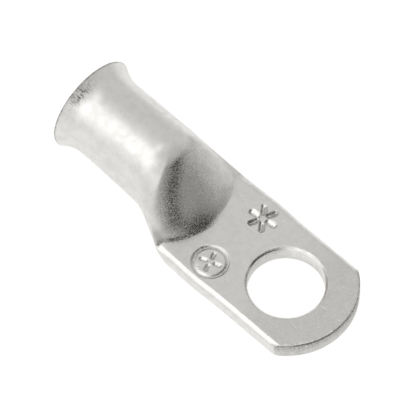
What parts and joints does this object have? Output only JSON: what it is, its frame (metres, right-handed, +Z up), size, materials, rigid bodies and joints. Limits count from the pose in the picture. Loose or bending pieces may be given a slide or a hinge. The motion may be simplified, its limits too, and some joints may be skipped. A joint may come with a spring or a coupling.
{
  "type": "copper cable lug",
  "caption": "Tubular copper cable lug, tin plated, with a bell mouth, a pressed shoulder and a flat palm with a stud hole.",
  "frame": {"origin": "on the stud hole's axis at the palm's underside", "axes": "+Z up along the stud, +X along the lug towards the barrel's mouth"},
  "size_m": [0.0578, 0.021, 0.0174],
  "materials": {
    "tinned_copper": "satin tin plate over copper"
  },
  "bodies": {
    "root": {"cable_lug": "tinned_copper"}
  },
  "joints": []
}
